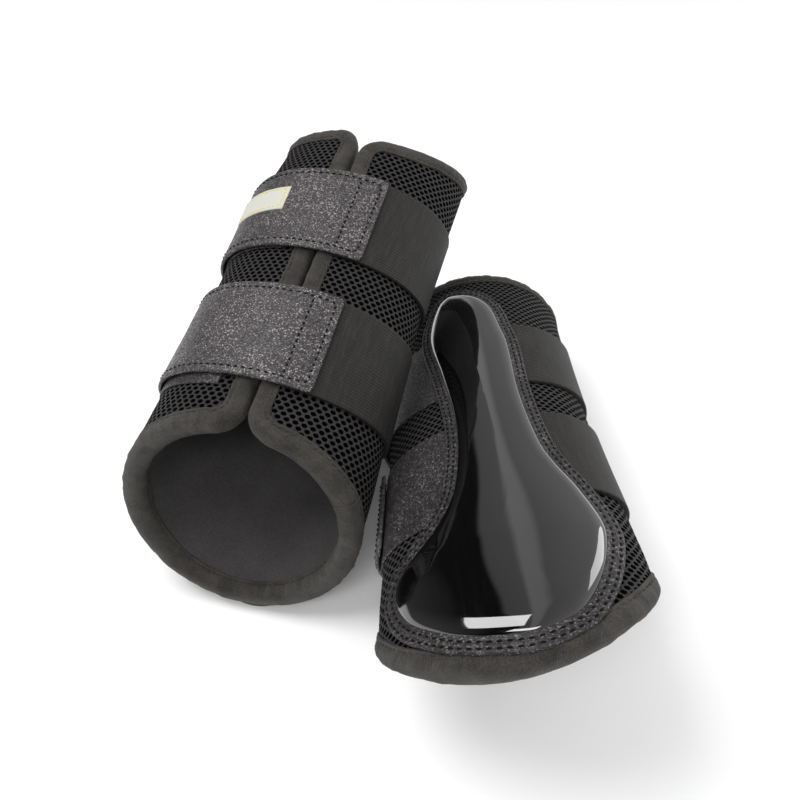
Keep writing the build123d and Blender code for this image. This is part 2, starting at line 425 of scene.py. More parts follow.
def slab_faces(columns, rows):
    """The outer face, the inner face, and then the quads round the rim."""
    count = columns * rows
    faces = grid_faces(columns, rows)
    faces += [tuple(index + count for index in face[::-1]) for face in grid_faces(columns, rows)]
    rim = list(range(rows))
    rim += [column * rows + rows - 1 for column in range(1, columns)]
    rim += [(columns - 1) * rows + row for row in range(rows - 2, -1, -1)]
    rim += [column * rows for column in range(columns - 2, 0, -1)]
    for here, there in zip(rim, rim[1:] + rim[:1]):
        faces.append((here, there, there + count, here + count))
    return faces


def make_slab(boot, name, material, slot, **shape):
    places, columns, rows = slab_places(**shape)
    flat = 0 if shape.get("round_ends", True) else 2 * (columns + rows - 2)
    return make_piece(boot, name, places, slab_faces(columns, rows), [material], flat=flat)


def stitch_places(centre, along, offset, length, width):
    """Rings of points round one thread dash."""
    aside = np.array([-along[1], along[0]])
    places = []
    for ring in range(STITCH_RINGS):
        turn = pi * ring / (STITCH_RINGS - 1)
        reach = -np.cos(turn) * length / 2
        thick = max(np.sin(turn) ** 0.6, 0.05) * width / 2
        sink = -STITCH_SINK * np.cos(turn) ** 2
        for side in range(STITCH_SIDES):
            spin = 2 * pi * side / STITCH_SIDES
            spot = centre + along * reach + aside * np.cos(spin) * thick
            places.append((spot[0], spot[1], offset + sink + np.sin(spin) * thick * STITCH_FLATNESS))
    return places


def stitch_faces(start):
    faces = []
    for ring in range(STITCH_RINGS - 1):
        here = start + ring * STITCH_SIDES
        for side in range(STITCH_SIDES):
            after = (side + 1) % STITCH_SIDES
            faces.append((here + side, here + after,
                          here + STITCH_SIDES + after, here + STITCH_SIDES + side))
    last = start + (STITCH_RINGS - 1) * STITCH_SIDES
    faces.append(tuple(range(start, start + STITCH_SIDES))[::-1])
    faces.append(tuple(range(last, last + STITCH_SIDES)))
    return faces


def make_stitches(boot, name, rows, material, pitch=STITCH_PITCH, length=STITCH_LENGTH,
                  width=STITCH_WIDTH):
    """Thread dashes along rows; a row is (path of arc and height, offset, whether it is closed)."""
    places = []
    faces = []
    for path, offset, closed in rows:
        path = np.asarray(path, float)
        if closed:
            path = close_path(path)
        run = run_length(path)
        count = max(1, int(run[-1] / pitch))
        for middle in (np.arange(count) + 0.5) * run[-1] / count:
            start, end = along_path(path, run, np.array([middle - length / 2, middle + length / 2]))
            faces += stitch_faces(len(places))
            places += stitch_places((start + end) / 2, unit(end - start), offset, length, width)
    return make_piece(boot, name, places, faces, [material])


# ---- materials
YARN = (0.024, 0.0222, 0.0235)
TAPE = (0.034, 0.0298, 0.0255)
GLITTER = (0.06, 0.0545, 0.0565)
DARK_GLITTER = (0.03, 0.0275, 0.028)
WEBBING = (0.0135, 0.0115, 0.0098)
KNIT = (0.042, 0.0395, 0.0395)
THREAD = (0.0022, 0.0021, 0.002)
TAPE_THREAD = (0.036, 0.0325, 0.0285)
PAD_BLACK = (0.0015, 0.0015, 0.0017)
OFF_WHITE = (0.64, 0.635, 0.57)
LABEL_YELLOW = (0.72, 0.62, 0.08)
BLACK = (0.0012, 0.0012, 0.0012)


def shade(color, amount):
    return tuple(channel * amount for channel in color)


class Look:
    """Short calls for building one procedural material on the weave's coordinates.

    A scale is one number or three, in turns per millimetre.
    """

    def __init__(self, name, color, roughness, **sockets):
        self.material = bpy.data.materials.new(name)
        self.material.use_nodes = True
        self.tree = self.material.node_tree
        self.shader = self.tree.nodes["Principled BSDF"]
        self.shader.inputs["Base Color"].default_value = (*color, 1)
        self.shader.inputs["Roughness"].default_value = roughness
        for socket, value in sockets.items():
            self.shader.inputs[socket.replace("_", " ")].default_value = value
        self.place = self.tree.nodes.new("ShaderNodeAttribute")
        self.place.attribute_name = "weave"

    def put(self, kind, links, **values):
        node = self.tree.nodes.new(kind)
        for key, value in values.items():
            if hasattr(node, key):
                setattr(node, key, value)
            else:
                node.inputs[key.replace("_", " ")].default_value = value
        for socket, source in links.items():
            self.tree.links.new(source, node.inputs[socket])
        return node

    def scaled(self, scale):
        ways = scale if isinstance(scale, tuple) else (scale,) * 3
        node = self.put("ShaderNodeVectorMath", {}, operation="MULTIPLY")
        node.inputs[1].default_value = shade(ways, PER_MM)
        self.tree.links.new(self.place.outputs["Vector"], node.inputs[0])
        return node.outputs["Vector"]

    def noise(self, scale, detail=3.0, roughness=0.5):
        node = self.put("ShaderNodeTexNoise", {"Vector": self.scaled(scale)},
                        Detail=detail, Scale=1.0, Roughness=roughness)
        return node.outputs["Fac"]

    def wave(self, scale, distortion=0.0):
        node = self.put("ShaderNodeTexWave", {"Vector": self.scaled(scale)},
                        Distortion=distortion, Scale=1.0)
        return node.outputs["Fac"]

    def cells(self, scale):
        return self.put("ShaderNodeTexVoronoi", {"Vector": self.scaled(scale)}, Scale=1.0).outputs

    def math(self, operation, first, second):
        node = self.put("ShaderNodeMath", {}, operation=operation)
        for index, value in enumerate((first, second)):
            if isinstance(value, (int, float)):
                node.inputs[index].default_value = value
            else:
                self.tree.links.new(value, node.inputs[index])
        return node.outputs["Value"]

    def mix(self, *parts):
        """The sum of outputs, each times its weight."""
        total = 0.0
        for output, weight in parts:
            total = self.math("ADD", total, self.math("MULTIPLY", output, weight))
        return total

    def ramp(self, factor, stops):
        node = self.put("ShaderNodeValToRGB", {"Fac": factor})
        elements = node.color_ramp.elements
        while len(elements) < len(stops):
            elements.new(0.5)
        for element, (place, color) in zip(elements, stops):
            element.position = place
            element.color = (*color, 1)
        return node.outputs["Color"]

    def tones(self, factor, color, *stops):
        """Shades of one colour as the base colour; a stop is (place, amount)."""
        stops = [(place, shade(color, amount)) for place, amount in stops]
        self.tree.links.new(self.ramp(factor, stops), self.shader.inputs["Base Color"])

    def roughness(self, factor, *stops):
        """A varying roughness; a stop is (place, level)."""
        stops = [(place, (level,) * 3) for place, level in stops]
        self.tree.links.new(self.ramp(factor, stops), self.shader.inputs["Roughness"])

    def bump(self, height, distance, strength=1.0):
        node = self.put("ShaderNodeBump", {"Height": height}, Strength=strength, Distance=distance)
        self.tree.links.new(node.outputs["Normal"], self.shader.inputs["Normal"])


def yarn_material():
    look = Look("mesh_yarn", YARN, 0.7, Specular_IOR_Level=0.22, Sheen_Weight=0.04)
    fine = look.noise(1.9, 2.0)
    broad = look.noise(0.06, 2.0)
    look.tones(look.mix((fine, 0.7), (broad, 0.3)), YARN, (0.25, 0.55), (0.75, 1.35))
    look.bump(fine, 0.00025, 0.8)
    return look.material


# The holes' walls and floors are near black: painted shade inside the mesh's holes.
def hole_shade_material():
    look = Look("mesh_hole_painted_shade", BLACK, 0.95, Specular_IOR_Level=0.02)
    grain = look.noise(1.2, 1.0)
    look.tones(grain, BLACK, (0.3, 0.5), (0.8, 2.5))
    look.bump(grain, 0.0002)
    return look.material


def tape_material():
    look = Look("edge_tape", TAPE, 0.62, Specular_IOR_Level=0.3, Sheen_Weight=0.08)
    twill = look.wave(0.62, 1.2)
    fuzz = look.noise(1.4)
    broad = look.noise(0.11)
    look.tones(look.mix((fuzz, 0.5), (broad, 0.5)), TAPE, (0.4, 0.5), (0.6, 1.45))
    look.bump(look.math("ADD", twill, fuzz), 0.00024, 0.9)
    return look.material


def glitter_material(name, tone):
    look = Look(name, tone, 0.5, Specular_IOR_Level=0.35)
    specks = look.cells(2.2)
    pick = look.put("ShaderNodeSeparateColor", {"Color": specks["Color"]}).outputs
    broad = look.math("SUBTRACT", look.noise(0.05, 2.0), 0.5)
    level = look.math("ADD", pick["Red"], look.math("MULTIPLY", broad, 0.25))
    look.tones(level, tone, (0.0, 0.25), (0.5, 0.7), (0.78, 1.3), (0.92, 3.0), (0.99, 6.0))
    look.roughness(pick["Green"], (0.0, 0.28), (1.0, 0.75))
    look.bump(pick["Blue"], 0.00022, 0.8)
    return look.material


def elastic_material():
    look = Look("elastic", WEBBING, 0.55, Specular_IOR_Level=0.3, Sheen_Weight=0.03)
    ribs = look.wave((0, 0.32, 0), 0.3)
    cross = look.wave((0.4, 0, 0), 0.6)
    # streaks across the ribs: partly the weave's own streaks, partly painted highlights
    weave_and_highlight_streaks = look.noise((0.55, 0.07, 0), 3.0, 0.7)
    grain = look.noise((1.6, 1.6, 0), 2.0)
    mixed = look.mix((weave_and_highlight_streaks, 0.5), (grain, 0.35), (ribs, 0.15))
    # the lightest tones are painted highlights on the ribs, on top of the weave's own tone
    look.tones(mixed, WEBBING, (0.38, 0.3), (0.5, 1.0), (0.64, 3.2))
    weave = look.math("MULTIPLY", look.math("ADD", cross, grain), 0.5)
    look.bump(look.math("ADD", ribs, weave), 0.0002, 0.9)
    return look.material


def knit_material():
    look = Look("neoprene_lining", KNIT, 0.9, Specular_IOR_Level=0.15, Sheen_Weight=0.05)
    grain = look.noise(1.3, 4.0, 0.65)
    broad = look.noise(0.04)
    look.tones(look.mix((grain, 0.6), (broad, 0.4)), KNIT, (0.3, 0.6), (0.7, 1.35))
    look.bump(grain, 0.0002, 0.7)
    return look.material


def thread_material(name, tone, dark=0.6, light=1.6, specular=0.15):
    look = Look(name, tone, 0.6, Specular_IOR_Level=specular)
    twist = look.wave((1.5, 1.5, 0), 0.5)
    look.tones(twist, tone, (0.2, dark), (0.8, light))
    look.bump(twist, 0.0001, 0.6)
    return look.material


def pad_material():
    look = Look("gloss_pad", PAD_BLACK, 0.07, Coat_Weight=1.0, Coat_Roughness=0.02,
                Specular_IOR_Level=0.7)
    ripple = look.noise(0.05, 2.0, 0.4)
    scuffs = look.noise((0.5, 0.05, 0.5), 5.0, 0.7)
    look.tones(scuffs, PAD_BLACK, (0.4, 1.0), (0.75, 1.8))
    look.roughness(scuffs, (0.45, 0.05), (0.8, 0.12))
    look.bump(ripple, 0.0004, 0.25)
    return look.material


def foam_material():
    look = Look("foam", shade(KNIT, 1.6), 0.9)
    cells = look.cells(1.1)
    look.tones(cells["Distance"], KNIT, (0.1, 0.9), (0.6, 2.0))
    look.bump(cells["Distance"], 0.0003)
    return look.material


def hook_material():
    look = Look("hook_tape", shade(BLACK, 3.0), 0.6)
    both = look.math("MULTIPLY", look.wave((0, 0.35, 0)), look.wave((0.45, 0, 0)))
    look.tones(both, BLACK, (0.2, 1.5), (0.8, 7.0))
    look.bump(both, 0.0006)
    return look.material


def label_material():
    look = Look("woven_label", OFF_WHITE, 0.75, Sheen_Weight=0.2)
    both = look.math("MULTIPLY", look.wave((0, 0.9, 0), 0.4), look.wave((0.5, 0, 0), 0.4))
    look.tones(both, OFF_WHITE, (0.1, 0.82), (0.7, 1.12))
    look.bump(both, 0.00015)
    return look.material


yarn = yarn_material()
hole = hole_shade_material()
tape = tape_material()
glitter = glitter_material("glitter_fabric", GLITTER)
dark_glitter = glitter_material("dark_glitter_fabric", DARK_GLITTER)
webbing = elastic_material()
knit = knit_material()
thread = thread_material("thread", THREAD)
tape_thread = thread_material("tape_thread", TAPE_THREAD)
pad_gloss = pad_material()
foam = foam_material()
hooks = hook_material()
label_weave = label_material()
label_thread = thread_material("label_thread", LABEL_YELLOW, dark=0.7, light=1.2, specular=0.5)


# ---- the soft wall
def bend_with_flap(boot, piece):
    start = boot.spot(WALL_BEND[0], BOOT_HEIGHT / 2)
    end = boot.spot(WALL_BEND[1], BOOT_HEIGHT / 2)
    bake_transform(piece)


def mesh_cells(boot):
    """Half step, row and arc of each mesh cell whose middle lies inside the edge binding."""
    columns = int(boot.round / HOLE_PITCH) + 2
    low_row = int(-boot.pad_drop / HOLE_ROW) - 2
    high_row = int((BOOT_HEIGHT + PAD_RISE) / HOLE_ROW) + 2
    rows, steps = np.meshgrid(np.arange(low_row, high_row), np.arange(columns), indexing="ij")
    rows, steps = rows.ravel(), steps.ravel()
    half_steps = 2 * steps + rows % 2
    arc = half_steps * HOLE_PITCH / 2
    height = rows * HOLE_ROW
    margin, rim_margin = (BINDING_WIDTH - tuck for tuck in MESH_TUCK)
    inside = (arc > margin) & (arc < boot.round - margin)
    inside &= (height > boot.low_rim(arc) + rim_margin) & (height < boot.high_rim(arc) - rim_margin)
    return half_steps[inside], rows[inside], arc[inside]


def make_mesh_sheet(boot, name, half_steps, rows):
    """Spacer mesh: staggered cells, each with an oval hole pressed into the fabric."""
    around = [(1, 0), (1, 1), (0, 1), (-1, 1), (-1, 0), (-1, -1), (0, -1), (1, -1)]
    sides = len(around)
    count = len(rows)
    corners = np.stack([np.stack((half_steps + x, 2 * rows + y), axis=1) for x, y in around], axis=1)
    keys, which = np.unique(corners.reshape(-1, 2), axis=0, return_inverse=True)
    which = which.reshape(-1, sides)
    crossing = (keys[:, 0] + keys[:, 1]) % 2 == 0
    lift = YARN_LIFT * np.where(crossing, 1.0, YARN_DIP)
    shared = np.column_stack((keys[:, 0] * HOLE_PITCH / 2, keys[:, 1] * HOLE_ROW / 2, lift))
    centres = np.column_stack((half_steps * HOLE_PITCH / 2, rows * HOLE_ROW))
    turns = np.array([np.arctan2(y, x) for x, y in around])
    rings = []
    for (wide, tall), depth in ((HOLE_RIM, 0.0), (HOLE_FLOOR, HOLE_DEPTH)):
        ring = np.empty((count, sides, 3))
        ring[:, :, 0] = centres[:, None, 0] + wide * np.cos(turns)
        ring[:, :, 1] = centres[:, None, 1] + tall * np.sin(turns)
        ring[:, :, 2] = -depth
        rings.append(ring.reshape(-1, 3))
    rim = len(keys) + np.arange(count * sides).reshape(count, sides)
    floor = rim + count * sides
    faces = []
    for here in range(sides):
        there = (here + 1) % sides
        faces.append(np.stack((which[:, here], which[:, there], rim[:, there], rim[:, here]), axis=1))
        faces.append(np.stack((rim[:, here], rim[:, there], floor[:, there], floor[:, here]), axis=1))
    quads = np.concatenate(faces).tolist()
    # the holes' walls and floors take the near-black material, which is painted shade in the holes
    slots = ([0] * count + [1] * count) * sides + [1] * count
    return make_piece(boot, name, np.concatenate([shared] + rings), quads + floor.tolist(),
                      [yarn, hole], slots)


def outline_path(boot, step=1.0):
    """The whole wall's edge and the run along it, anticlockwise seen from outside.

    It starts on the bottom rim beside the flap's corner. The rims' slopes fade out towards half height.
    """
    first = CLOSURE_GAP
    last = boot.round - CLOSURE_GAP
    radius = CORNER_RADIUS
    half = BOOT_HEIGHT / 2
    turn = np.linspace(0, pi / 2, 22)
    bottom = np.linspace(first + radius, last - radius, 340)
    side = np.linspace(radius, BOOT_HEIGHT - radius, 160)
    corner = radius * (1 - np.cos(turn))
    rise = radius * (1 - np.sin(turn))
    path = np.concatenate([
        np.column_stack((bottom, np.zeros_like(bottom))),
        np.column_stack((last - radius + radius * np.sin(turn), corner)),
        np.column_stack((np.full_like(side, last), side)),
        np.column_stack((last - radius + radius * np.cos(turn), BOOT_HEIGHT - rise)),
        np.column_stack((bottom[::-1], np.full_like(bottom, BOOT_HEIGHT))),
        np.column_stack((first + radius - radius * np.sin(turn), BOOT_HEIGHT - corner)),
        np.column_stack((np.full_like(side, first), side[::-1])),
        np.column_stack((first + radius - radius * np.cos(turn), rise)),
    ])
    arc, height = path.T
    upper = height > half
    shift = np.where(upper, boot.high_rim(arc) - BOOT_HEIGHT, boot.low_rim(arc))
    fade = np.where(upper, np.clip((height - half) / half, 0, 1), np.clip(1 - height / half, 0, 1))
    closed = close_path(np.column_stack((arc, height + shift * fade)))
    run = run_length(closed)
    marks = np.linspace(0, run[-1], int(run[-1] / step), endpoint=False)
    return along_path(closed, run, marks), marks


def tape_places(boot, path, marks):
    """The tape's section at each point of the path, gathered between stitches."""
    normal = inward(path)
    section = np.array(TAPE_SECTION)
    pucker = smooth_noise(marks, PUCKER_BEAT, 1.0 + boot.side)[:, None]
    gather = smooth_noise(marks, GATHER_BEAT, 4.0 + boot.side)[:, None]
    depth = np.clip(section[:, 0], 0, BINDING_WIDTH) / BINDING_WIDTH
    skin = np.where(np.arange(len(section)) < len(section) - TAPE_HIDDEN, 1.0, 0.0)
    bulge = (PUCKER_LIFT * pucker * np.sin(pi * depth ** 0.6) + GATHER_LIFT * gather) * skin
    outside = np.where(section[:, 1] > TAPE_MIDDLE, 1.0, -1.0)
    distance_in = section[:, 0] + (GATHER_INSET * gather + PUCKER_INSET * pucker) * (1 - depth)
    arc = path[:, :1] + normal[:, :1] * distance_in
    height = path[:, 1:] + normal[:, 1:] * distance_in
    return np.stack((arc, height, section[:, 1] + bulge * outside), axis=-1)


def tape_faces(rows):
    """Quads of a tube of sections, then its two ends."""
    span = len(TAPE_SECTION)
    faces = []
    for row in range(rows - 1):
        for column in range(span):
            after = (column + 1) % span
            faces.append((row * span + after, (row + 1) * span + after,
                          (row + 1) * span + column, row * span + column))
    faces.append(tuple(range(span))[::-1])
    faces.append(tuple(range((rows - 1) * span, rows * span)))
    return faces


def make_binding(boot):
    path, marks = outline_path(boot)
    normal = inward(path)
    places = tape_places(boot, path, marks)
    on_shell = path[:, 0] >= boot.arc(SPLIT_ANGLE)
    count = len(path)
    first = int(np.argmax(on_shell))
    last = count - 1 - int(np.argmax(on_shell[::-1]))
    # the flap's strip wraps round the path's ends
    flap_order = np.concatenate((np.arange(last, count), np.arange(0, first + 1)))
    for name, order in (("edge_binding", np.arange(first, last + 1)), ("flap_binding", flap_order)):
        piece = make_piece(boot, name + "_tape", places[order].reshape(-1, 3),
                           tape_faces(len(order)), [tape], flat=2)
        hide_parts(boot.name + "_" + name)
        line = path[order] + normal[order] * TAPE_STITCH_IN
        rows = [(line, TAPE_STITCH_LIFT, False), (line, -WALL - TAPE_STITCH_LIFT, False)]
        sewn = make_stitches(boot, name + "_stitches", rows, tape_thread, width=TAPE_STITCH_WIDTH)
        for item in (piece, sewn):
            if name == "edge_binding":
                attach(item, boot.name + "_shell")
            else:
                bend_with_flap(boot, item)


def make_wall(boot):
    split = boot.arc(SPLIT_ANGLE)
    half_steps, rows, arc = mesh_cells(boot)
    flap_side = arc < split
    shell_sheet = make_mesh_sheet(boot, "outer_mesh_fabric", half_steps[~flap_side], rows[~flap_side])
    flap_sheet = make_mesh_sheet(boot, "flap_mesh_fabric", half_steps[flap_side], rows[flap_side])
    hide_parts(boot.name + "_outer_mesh")
    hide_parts(boot.name + "_flap_mesh")
    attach(shell_sheet, boot.name + "_shell")
    bend_with_flap(boot, flap_sheet)
    margin = BINDING_WIDTH - LINING_TUCK
    for name, first, last in (("lining", split, boot.round - margin), ("flap_lining", margin, split)):
        piece = make_slab(boot, name + "_knit", knit, "neoprene_lining", first=first, last=last,
                          low=lambda arc: boot.low_rim(arc) + margin,
                          high=lambda arc: boot.high_rim(arc) - margin,
                          outer=-WALL_MESH + LINING_OVERLAP, inner=-WALL, step=2.5, edge=0.01,
                          round_ends=False)
        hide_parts(boot.name + "_" + name)
        if name == "lining":
            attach(piece, boot.name + "_shell")
        else:
            bend_with_flap(boot, piece)


# ---- the strike pad
def smooth_outline(points, count, fineness=40):
    """Even points along the closed curve through the given ones."""
    points = np.array(points, float)
    total = len(points)
    steps = np.linspace(0, total, fineness * total, endpoint=False)
    base = steps.astype(int)
    part = (steps - base)[:, None]
    before, here, after, beyond = (points[(base + shift) % total] for shift in (-1, 0, 1, 2))
    curve = 0.5 * (2 * here + (after - before) * part
                   + (2 * before - 5 * here + 4 * after - beyond) * part ** 2
                   + (3 * here - before - 3 * after + beyond) * part ** 3)
    closed = close_path(curve)
    run = run_length(closed)
    return along_path(closed, run, np.linspace(0, run[-1], count, endpoint=False))


def ring_rows(outline, shares):
    """Rings that shrink from the outline to a spine along the pad's middle."""
    low = outline[:, 1].min()
    high = outline[:, 1].max()
    tall = high - low
    share_up = (outline[:, 1] - low) / tall
    spine_low = low + SPINE_LOW * tall
    spine_high = high - SPINE_HIGH * tall
    target_up = spine_low + (spine_high - spine_low) * share_up
    target_across = np.empty(len(outline))
    for index, height in enumerate(target_up):
        near = np.exp(-((outline[:, 1] - height) / SPINE_BLUR) ** 2)
        right = outline[:, 0] > np.average(outline[:, 0], weights=near)
        sides = [np.average(outline[chosen, 0], weights=near[chosen]) for chosen in (right, ~right)]
        target_across[index] = (sides[0] + sides[1]) / 2
    share = (target_up - low) / tall
    target_across = np.polyval(np.polyfit(share, target_across, SPINE_DEGREE), share)
    target = np.column_stack((target_across, target_up))
    return [outline + (target - outline) * part for part in shares]


def distance_to(points, outline):
    """How far each point lies from the outline."""
    step = np.roll(outline, -1, axis=0) - outline
    shares = np.einsum("pij,ij->pi", points[:, None, :] - outline[None], step) / np.sum(step ** 2, axis=1)
    nearest = outline[None] + np.clip(shares, 0, 1)[:, :, None] * step[None]
    return np.sqrt(((points[:, None, :] - nearest) ** 2).sum(-1).min(1))


def make_dome(boot, name, material, outline, foot, profile, rings):
    """A closed dome over an outline on the pad side; profile gives its offset by distance in."""
    rows = ring_rows(outline, (np.arange(rings + 1) / rings) ** RING_CROWDING)
    places = [np.column_stack((boot.pad_arc(row[:, 0]), row[:, 1], profile(distance_to(row, outline))))
              for row in rows]
    count = len(outline)
    for row in (outline, rows[-1]):
        places.append(np.column_stack((boot.pad_arc(row[:, 0]), row[:, 1], np.full(count, foot))))
    faces = []
    for ring in range(rings):
        faces += ring_quads(ring, ring + 1, count)
    faces += ring_quads(rings + 1, 0, count)
    faces += ring_quads(rings + 2, rings + 1, count)
    piece = make_piece(boot, name, np.concatenate(places), faces, [material])
    weld(piece)
    return piece


def border_lift(distance):
    grooves = [SEAM_DEPTH * np.exp(-((distance - seam) / SEAM_WIDTH) ** 2) for seam in PAD_SEAMS]
    return BORDER_EDGE + BORDER_RISE * rounded_rise(distance, BORDER_ROUNDING) - (grooves[0] + grooves[1])


def core_lift(distance):
    return CORE_EDGE + CORE_RISE * rounded_rise(distance, CORE_ROUNDING)


def skin_lift(distance):
    crown = SKIN_CROWN * (1 - np.exp(-(distance / SKIN_CROWN_REACH) ** 2))
    return SKIN_EDGE + SKIN_RISE * rounded_rise(distance, SKIN_ROUNDING) + crown


def make_strike_pad(boot):
    shell = boot.name + "_shell"
    outline = smooth_outline(PAD_OUTLINE, PAD_POINTS)
    border = make_dome(boot, "pad_border_fabric", dark_glitter, outline, 0.0,
                       border_lift, rings=30)
    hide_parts(boot.name + "_pad_border")
    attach(border, shell)
    lines = [inset(outline, seam) for seam in PAD_SEAMS]
    rows = [(np.column_stack((boot.pad_arc(line[:, 0]), line[:, 1])), BORDER_STITCH_LIFT, True)
            for line in lines]
    sewn = make_stitches(boot, "pad_border_stitches", rows, thread)
    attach(sewn, shell)
    core = make_dome(boot, "pad_foam_block", foam, inset(outline, CORE_INSET), CORE_FOOT,
                     core_lift, rings=16)
    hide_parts(boot.name + "_pad_foam_core")
    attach(core, shell)
    skin = make_dome(boot, "strike_pad_skin", pad_gloss, inset(outline, PAD_BORDER),
                     SKIN_FOOT, skin_lift, rings=44)
    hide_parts(boot.name + "_strike_pad")
    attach(skin, shell)


# ---- straps
def pad_edge_arc(boot, elastic_side):
    """A function from a height to the arc just under the pad border's edge on one side."""
    outline = smooth_outline(PAD_OUTLINE, PAD_POINTS)
    middle = outline[:, 0].mean()
    side = outline[outline[:, 0] > middle if elastic_side else outline[:, 0] < middle]
    side = side[np.argsort(side[:, 1])]
    tuck = -PAD_TUCK if elastic_side else PAD_TUCK
    return lambda height: boot.pad_arc(np.interp(height, side[:, 1], side[:, 0]) + tuck)


def frame_path(first, last, low, high, margin, corner=2.0):
    """A rounded rectangle inside a strip's edges."""
    left_end, right_end = first + margin, last - margin
    down, up = low + margin, high - margin
    path = []
    corners = ((right_end, down, -1, 1, -pi / 2), (right_end, up, -1, -1, 0),
               (left_end, up, 1, -1, pi / 2), (left_end, down, 1, 1, pi))
    for x, y, way_x, way_y, start in corners:
        for turn in np.linspace(start, start + pi / 2, 5):
            path.append((x + way_x * corner + corner * np.cos(turn),
                         y + way_y * corner + corner * np.sin(turn)))
    dense = []
    for here, there in zip(path, path[1:] + path[:1]):
        way = (there[0] - here[0], there[1] - here[1])
        steps = max(1, int(np.hypot(*way) / FRAME_STEP))
        dense += [(here[0] + way[0] * step / steps, here[1] + way[1] * step / steps)
                  for step in range(steps)]
    return dense


def make_elastic(boot, which, foot):
    """The elastic band, and its end under the tab."""
    name = which + "_strap_"
    middle = foot + STRAP_WIDTH / 2
    swell, beat = ELASTIC_SWELL

    def ribs(arc, height):
        return RIB_LIFT * np.sin(2 * pi * height / RIB_PITCH) + swell * smooth_noise(arc, beat, foot)

    shape = {"low": foot, "high": foot + STRAP_WIDTH, "outer": ELASTIC + ELASTIC_PLUMP,
             "inner": STRAP_GAP, "row_step": ELASTIC_ROW, "relief": ribs, "round_ends": False}
    joint_arc = boot.arc(BEND_ANGLE)
    band = make_slab(boot, name + "elastic_band", webbing, "elastic", first=joint_arc,
                     last=pad_edge_arc(boot, True), step=1.6, **shape)
    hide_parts(boot.name + "_" + name + "elastic")
    boot.spot(ELASTIC_BEND[0], middle)
    boot.spot(ELASTIC_BEND[1], middle)
    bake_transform(band)
    end = make_slab(boot, name + "elastic_end_band", webbing, "elastic",
                    first=boot.arc(TAB_SEAM - SEAM_TUCK), last=joint_arc, step=1.4, **shape)
    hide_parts(boot.name + "_" + name + "elastic_end")
    boot.spot(TAB_BEND[0], middle)
    boot.spot(TAB_BEND[1], middle)
    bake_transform(end)


def make_tab(boot, wrapped, which, foot):
    """The tab that crosses the closure, with its stitches and the hook tape under it."""
    name = which + "_strap_"
    peel = boot.name + "_" + which + "_tab"
    head = foot + STRAP_WIDTH
    first, last = boot.arc_past_closure(TAB_END), boot.arc_past_closure(TAB_START)

    def settle(arc, height):
        return (TAB_SWELL_ALONG[0] * smooth_noise(arc, TAB_SWELL_ALONG[1], foot)
                + TAB_SWELL_UP[0] * smooth_noise(height, TAB_SWELL_UP[1], foot))

    tab = make_slab(wrapped, name + "tab_fabric", glitter, "glitter_fabric", first=first, last=last,
                    low=foot - TAB_OVERHANG, high=head + TAB_OVERHANG, outer=TAB_LIFT + TAB,
                    inner=TAB_LIFT, step=2.0, relief=settle, edge=1.0, corner=2.5)
    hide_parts(boot.name + "_" + name + "tab")
    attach(tab, peel)
    lift = TAB_LIFT + TAB + TAB_STITCH_LIFT
    seam = boot.arc_past_closure(TAB_SEAM)
    cross_heights = np.linspace(foot + CROSS_SEAM_MARGIN, head - CROSS_SEAM_MARGIN, CROSS_SEAM_POINTS)
    rows = [(frame_path(first, last, foot, head, TAB_STITCH_MARGIN), lift, True),
            ([(seam, height) for height in cross_heights], lift, False)]
    sewn = make_stitches(wrapped, name + "tab_stitches", rows, thread)
    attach(sewn, peel)
    tape_last, tape_first = (boot.arc_past_closure(angle) for angle in HOOK_ANGLES)
    grip = make_slab(wrapped, name + "hook_tape_strip", hooks, "hook_tape", first=tape_first,
                     last=tape_last, low=foot + HOOK_MARGIN, high=head - HOOK_MARGIN,
                     outer=TAB_LIFT + 0.1, inner=TAB_LIFT - HOOK_TAPE, step=1.6, edge=0.3)
    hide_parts(boot.name + "_" + name + "hook_tape")
    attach(grip, peel)


def make_strap(boot, which):
    foot = STRAP_FOOT[which]
    name = which + "_strap_"
    wrapped = Wrapped(boot)
    make_elastic(boot, which, foot)
    make_tab(boot, wrapped, which, foot)
    patch = make_slab(boot, name + "landing_patch_fabric", dark_glitter, "loop_fabric",
                      first=pad_edge_arc(boot, False), last=boot.arc(PATCH_START),
                      low=foot - PATCH_DROP[which], high=foot + STRAP_WIDTH,
                      outer=LANDING_PATCH, inner=0.1, step=2.0, edge=0.6)
    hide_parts(boot.name + "_" + name + "landing_patch")
    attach(patch, boot.name + "_shell")
    if which == "upper":
        make_label(boot, wrapped, boot.name + "_" + which + "_tab", foot + LABEL_FOOT)


def make_label(boot, wrapped, peel, low):
    high = low + LABEL_HEIGHT
    last, first = (boot.arc_past_closure(angle) for angle in LABEL_ANGLES)
    top = TAB_LIFT + TAB + LABEL
    label = make_slab(wrapped, "label_woven", label_weave, "woven_label", first=first, last=last,
                      low=low, high=high, outer=top + LABEL_PLUMP,
                      inner=TAB_LIFT + TAB - LABEL_SINK, step=1.5, edge=0.4)
    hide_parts(boot.name + "_label")
    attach(label, peel)
    line = frame_path(first, last, low, high, LABEL_STITCH_MARGIN, LABEL_CORNER)
    sewn = make_stitches(wrapped, "label_stitches", [(line, top + 0.2, True)], label_thread,
                         **LABEL_STITCH)
    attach(sewn, peel)


left = Boot("left", side=1, place=(-49.0, -45.15, 55.4), leg_axis=(0.261, 0.911, 0.319),
            pad_side=(0.041, 0.320, -0.947), bottom=(54.5, 39.0), top=(53.0, 34.0), pad_drop=50.0,
            rim_bend=1.0)
right = Boot("right", side=-1, place=(58.0, -110.15, 59.2), leg_axis=(-0.005, 0.990, -0.138),
             pad_side=(-0.303, 0.130, 0.944), bottom=(52.0, 24.0), top=(49.0, 32.0), pad_drop=53.0,
             rim_bend=1.4)

for boot in (left, right):
    make_wall(boot)
    make_binding(boot)
    make_strike_pad(boot)
    for strap in ("upper", "lower"):
        make_strap(boot, strap)


